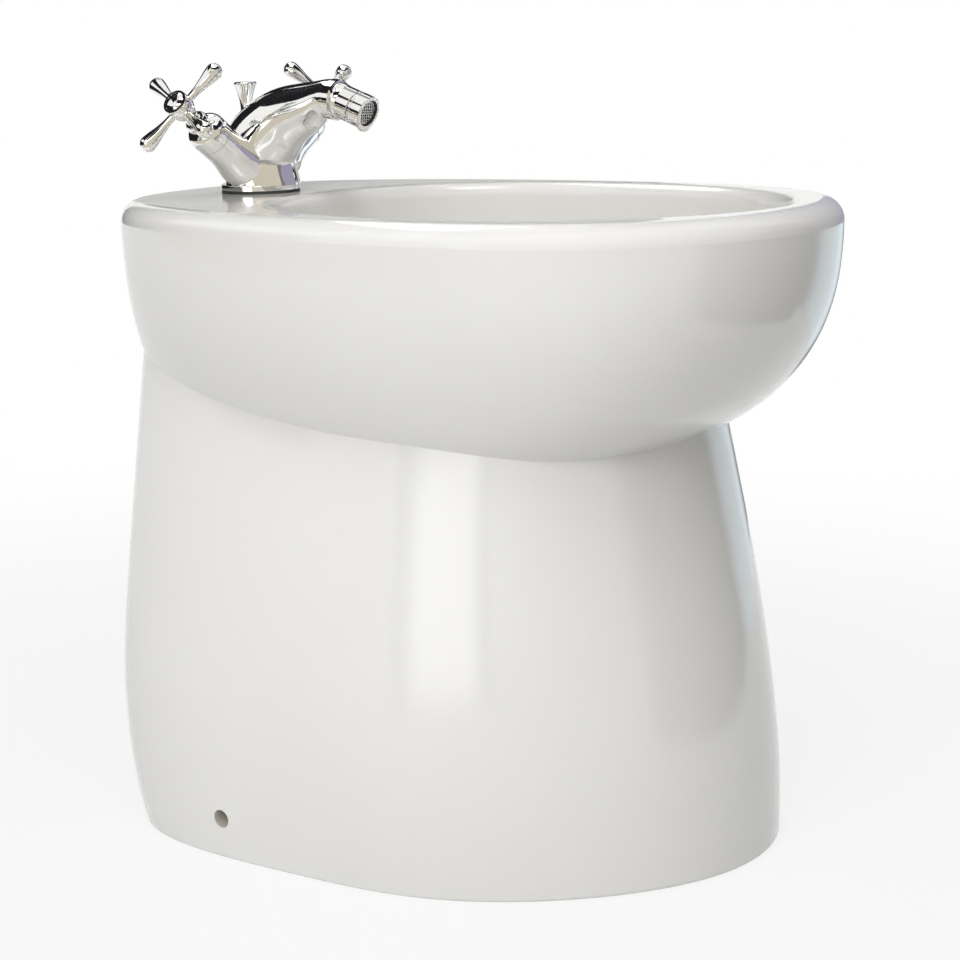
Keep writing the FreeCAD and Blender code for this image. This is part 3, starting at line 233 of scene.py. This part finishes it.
def moulded(name, deep, pale):
    m = Shading(name)
    m.colour(m.ramp(m.noise(scale=110.0, detail=4.0), deep, pale))
    m.rough(m.spread(m.noise(scale=240.0, detail=4.0), low=0.38, high=0.55))
    m.bump(m.noise(scale=1100.0, detail=3.0), strength=0.15, depth=0.0002)
    return m.material


def dress(node, *materials):
    slots = node.data.materials
    slots.clear()
    for material in materials:
        slots.append(material)


def mark_unglazed(node):
    """Gives the second material to the body's hidden faces: the service space and the foot."""
    mesh = node.data
    tree = BVHTree.FromPolygons([v.co for v in mesh.vertices], [p.vertices for p in mesh.polygons])
    middle = (cad_low + cad_high) / 2
    for face in mesh.polygons:
        face.material_index = 0
        start = face.center + face.normal * RAY_LIFT
        outward = Vector((start.x - middle.x, start.y - middle.y, 0)).normalized()
        roofed = tree.ray_cast(start, UP)[0] is not None
        walled = tree.ray_cast(start, outward)[0] is not None
        foot = face.normal.z < FOOT_NORMAL and start.z < FOOT_HEIGHT
        if foot or (roofed and walled):
            face.material_index = 1


FINISHES = {
    "chrome": chrome(),
    "brass": brass(),
    "steel": steel(),
    "rubber": rubber(),
    "black_plastic": moulded("black_plastic", BLACK_DEEP, BLACK_PALE),
    "white_plastic": moulded("white_plastic", WHITE_DEEP, WHITE_PALE),
}


def dress_parts():
    for part in frame["record"]["subparts"]:
        node = nodes[part["node"]]
        if part["material_slot"] == "ceramic":
            dress(node, glaze(), bisque())
            mark_unglazed(node)
        else:
            dress(node, FINISHES[part["material_slot"]])


# Studio
def bearing(turn, rise):
    """Direction from the object, turned from the camera's side towards the picture's right."""
    heading = math.radians(CAMERA_HEADING + turn)
    lift = math.radians(rise)
    return Vector((math.sin(heading) * math.cos(lift), -math.cos(heading) * math.cos(lift), math.sin(lift)))


def flat(name, corners, finish):
    """A four-cornered sheet with a material of its own, and that material's node tree."""
    mesh = bpy.data.meshes.new(name)
    mesh.from_pydata(corners, [], [(0, 1, 2, 3)])
    thing = bpy.data.objects.new(name, mesh)
    bpy.context.scene.collection.objects.link(thing)
    material = bpy.data.materials.new(finish)
    material.use_nodes = True
    mesh.materials.append(material)
    return thing, material.node_tree


def sheet(name, place, target, width, height, lean=0.0):
    """A glowing stage piece that faces the target and stays out of the camera's sight."""
    x = width / 2
    y = height / 2
    slip = lean * y
    corners = [(slip - x, -y, 0), (slip + x, -y, 0), (x - slip, y, 0), (-x - slip, y, 0)]
    thing, tree = flat(name, corners, name)
    thing.location = place
    thing.rotation_mode = "QUATERNION"
    thing.rotation_quaternion = (target - place).to_track_quat("Z", "Y")
    thing.visible_camera = False
    thing.visible_shadow = False
    tree.nodes.remove(tree.nodes["Principled BSDF"])
    glow = tree.nodes.new("ShaderNodeEmission")
    tree.links.new(glow.outputs["Emission"], tree.nodes["Material Output"].inputs["Surface"])
    return thing, tree, glow


def math_node(tree, operation, first, second):
    node = tree.nodes.new("ShaderNodeMath")
    node.operation = operation
    for socket, value in zip(node.inputs, (first, second)):
        if isinstance(value, (int, float)):
            socket.default_value = value
        else:
            tree.links.new(value, socket)
    return node.outputs["Value"]


def fade(tree, value, start, end, first, last):
    node = tree.nodes.new("ShaderNodeMapRange")
    node.interpolation_type = "SMOOTHSTEP"
    node.inputs["From Min"].default_value = start
    node.inputs["From Max"].default_value = end
    node.inputs["To Min"].default_value = first
    node.inputs["To Max"].default_value = last
    tree.links.new(value, node.inputs["Value"])
    return node.outputs["Result"]


def blend(tree, share, first, second):
    """Shows the first shader where the share is 0 and the second where it is 1."""
    mix = tree.nodes.new("ShaderNodeMixShader")
    tree.links.new(share, mix.inputs["Fac"])
    tree.links.new(first, mix.inputs[1])
    tree.links.new(second, mix.inputs[2])
    return mix.outputs["Shader"]


def softbox(name, target, turn, rise, far, width, height, strength, lean=0.0, colour=WHITE):
    """A light whose glow fades towards its edges and leaves on the target's side only."""
    thing, tree, glow = sheet(name, target + bearing(turn, rise) * far, target, width, height, lean)
    glow.inputs["Color"].default_value = (*colour, 1.0)
    parts = tree.nodes.new("ShaderNodeSeparateXYZ")
    tree.links.new(tree.nodes.new("ShaderNodeTexCoord").outputs["Object"], parts.inputs["Vector"])
    slip = math_node(tree, "MULTIPLY", parts.outputs["Y"], lean)
    across = math_node(tree, "ABSOLUTE", math_node(tree, "ADD", parts.outputs["X"], slip), 0.0)
    along = math_node(tree, "ABSOLUTE", parts.outputs["Y"], 0.0)
    side = fade(tree, across, (1.0 - SOFT_EDGE) * width / 2, width / 2, strength, 0.0)
    end = fade(tree, along, (1.0 - SOFT_EDGE) * height / 2, height / 2, 1.0, 0.0)
    back = tree.nodes.new("ShaderNodeNewGeometry").outputs["Backfacing"]
    front = math_node(tree, "SUBTRACT", 1.0, back)
    level = math_node(tree, "MULTIPLY", side, end)
    tree.links.new(math_node(tree, "MULTIPLY", level, front), glow.inputs["Strength"])
    return thing


def card(name, place, target, width, height, colour):
    """A card that only reflections see, and only from the target's side."""
    thing, tree, glow = sheet(name, place, target, width, height)
    glow.inputs["Color"].default_value = (*colour, 1.0)
    back = tree.nodes.new("ShaderNodeNewGeometry").outputs["Backfacing"]
    clear = tree.nodes.new("ShaderNodeBsdfTransparent").outputs["BSDF"]
    one_sided = blend(tree, back, glow.outputs["Emission"], clear)
    tree.links.new(one_sided, tree.nodes["Material Output"].inputs["Surface"])
    thing.visible_diffuse = False


def tap_card(name, turn, rise, width, height, colour):
    card(name, TAP + bearing(turn, rise) * TAP_CARD_DISTANCE, TAP, width, height, colour)


def seen(tree):
    """1 for rays from the camera, a mirror or clear matter, and 0 for the light on the object."""
    path = tree.nodes.new("ShaderNodeLightPath")
    either = math_node(tree, "MAXIMUM", path.outputs["Is Camera Ray"], path.outputs["Is Glossy Ray"])
    return math_node(tree, "MAXIMUM", either, path.outputs["Is Transmission Ray"])


def floor():
    half = FLOOR_HALF
    corners = [(-half, -half, 0), (half, -half, 0), (half, half, 0), (-half, half, 0)]
    thing, tree = flat("floor", corners, "pale_floor")
    shader = tree.nodes["Principled BSDF"]
    shader.inputs["Base Color"].default_value = (FLOOR_GREY, FLOOR_GREY, FLOOR_GREY, 1.0)
    shader.inputs["Roughness"].default_value = FLOOR_ROUGHNESS
    shader.inputs["Specular IOR Level"].default_value = FLOOR_GLOSS
    white = tree.nodes.new("ShaderNodeEmission")
    white.inputs["Color"].default_value = (*WHITE, 1.0)
    white.inputs["Strength"].default_value = 1.0
    foot = tree.nodes.new("ShaderNodeMapping")
    foot.inputs["Scale"].default_value = (1.0 / FOOT_HALF_WIDTH, 1.0 / FOOT_HALF_LENGTH, 1.0)
    tree.links.new(tree.nodes.new("ShaderNodeTexCoord").outputs["Object"], foot.inputs["Vector"])
    distance = tree.nodes.new("ShaderNodeVectorMath")
    distance.operation = "LENGTH"
    tree.links.new(foot.outputs["Vector"], distance.inputs[0])
    inside = fade(tree, distance.outputs["Value"], *FOOT_FADE, FLOOR_SHARE_INSIDE, FLOOR_SHARE)
    outside = fade(tree, distance.outputs["Value"], *FLOOR_FADE, 0.0, 1.0 - FLOOR_SHARE)
    share = math_node(tree, "ADD", inside, outside)
    seen_share = math_node(tree, "MULTIPLY", share, seen(tree))
    surface = blend(tree, seen_share, shader.outputs["BSDF"], white.outputs["Emission"])
    tree.links.new(surface, tree.nodes["Material Output"].inputs["Surface"])


def surroundings():
    world = bpy.data.worlds.new("studio")
    world.use_nodes = True
    bpy.context.scene.world = world
    tree = world.node_tree
    soft = tree.nodes["Background"]
    soft.inputs["Color"].default_value = (*AMBIENT_TINT, 1.0)
    soft.inputs["Strength"].default_value = AMBIENT
    white = tree.nodes.new("ShaderNodeBackground")
    white.inputs["Color"].default_value = (*WHITE, 1.0)
    white.inputs["Strength"].default_value = 1.0
    around = blend(tree, seen(tree), soft.outputs["Background"], white.outputs["Background"])
    tree.links.new(around, tree.nodes["World Output"].inputs["Surface"])


def camera():
    data = bpy.data.cameras.new("camera")
    data.lens = CAMERA_LENS
    data.sensor_width = SENSOR
    data.clip_start = NEAR_CLIP
    data.clip_end = FAR_CLIP
    thing = bpy.data.objects.new("camera", data)
    bpy.context.scene.collection.objects.link(thing)
    back = bearing(0.0, CAMERA_RISE)
    right = (-back).cross(UP).normalized()
    up = right.cross(-back)
    turn = math.radians(CAMERA_ROLL)
    tilted_right = math.cos(turn) * right + math.sin(turn) * up
    tilted_up = math.cos(turn) * up - math.sin(turn) * right
    axes = Matrix((tilted_right, tilted_up, back)).transposed().to_4x4()
    thing.matrix_world = Matrix.Translation(CAMERA_PLACE) @ axes
    bpy.context.scene.camera = thing


def lights():
    softbox("window", SUBJECT, turn=-34.0, rise=5.0, far=2.2, width=1.7, height=1.2, strength=2.8,
            lean=-0.75)
    softbox("key", SUBJECT, turn=-16.0, rise=37.0, far=2.3, width=1.6, height=1.3, strength=6.2)
    softbox("top", SUBJECT, turn=0.0, rise=68.0, far=2.2, width=1.4, height=1.4, strength=6.2)
    softbox("cool", PEDESTAL, turn=130.0, rise=0.0, far=0.95, width=0.9, height=0.8, strength=1.3,
            colour=COOL)
    line = softbox("rim_line", SUBJECT, turn=-135.0, rise=57.0, far=2.2, width=1.9, height=1.2,
                   strength=5.0)
    line.visible_diffuse = False


def cards():
    beside = BOWL + bearing(turn=76.0, rise=0.0) * BOWL_CARD_DISTANCE
    card("right_card", beside, BOWL, width=0.80, height=0.80, colour=GREY)
    # A ceramic-coloured glowing card under the tap: a painted reflection of the deck in the chrome
    ground = TAP + bearing(turn=-35.0, rise=0.0) * GROUND_CARD_DISTANCE - UP * GROUND_CARD_DROP
    card("deck_reflection_card", ground, ground + UP, width=1.30, height=1.30, colour=DECK_REFLECTION_TINT)
    tap_card("left_card", turn=-82.0, rise=1.0, width=0.43, height=0.19, colour=DARK)
    tap_card("left_back_card", turn=-126.0, rise=18.0, width=0.30, height=0.44, colour=DARK)
    tap_card("over_card", turn=-100.0, rise=50.0, width=0.52, height=0.20, colour=DARK)
    # The near card glows in the ceramic colour too: a painted reflection of the deck in the chrome
    tap_card("near_card", turn=20.0, rise=13.0, width=0.84, height=0.30, colour=DECK_REFLECTION_TINT)
    tap_card("near_upper_card", turn=6.0, rise=47.0, width=0.55, height=0.20, colour=DARK)
    tap_card("right_tap_card", turn=104.0, rise=18.0, width=0.40, height=0.44, colour=LAVENDER)
    tap_card("over_right_card", turn=85.0, rise=52.0, width=0.40, height=0.20, colour=DARK)
    tap_card("back_low_card", turn=176.0, rise=-1.0, width=0.46, height=0.075, colour=PALE)
    tap_card("back_card", turn=176.0, rise=25.0, width=0.46, height=0.30, colour=DARK)


def studio():
    lights()
    cards()
    floor()
    surroundings()
    camera()
    bpy.context.scene.view_settings.view_transform = "Standard"


dress_parts()
studio()
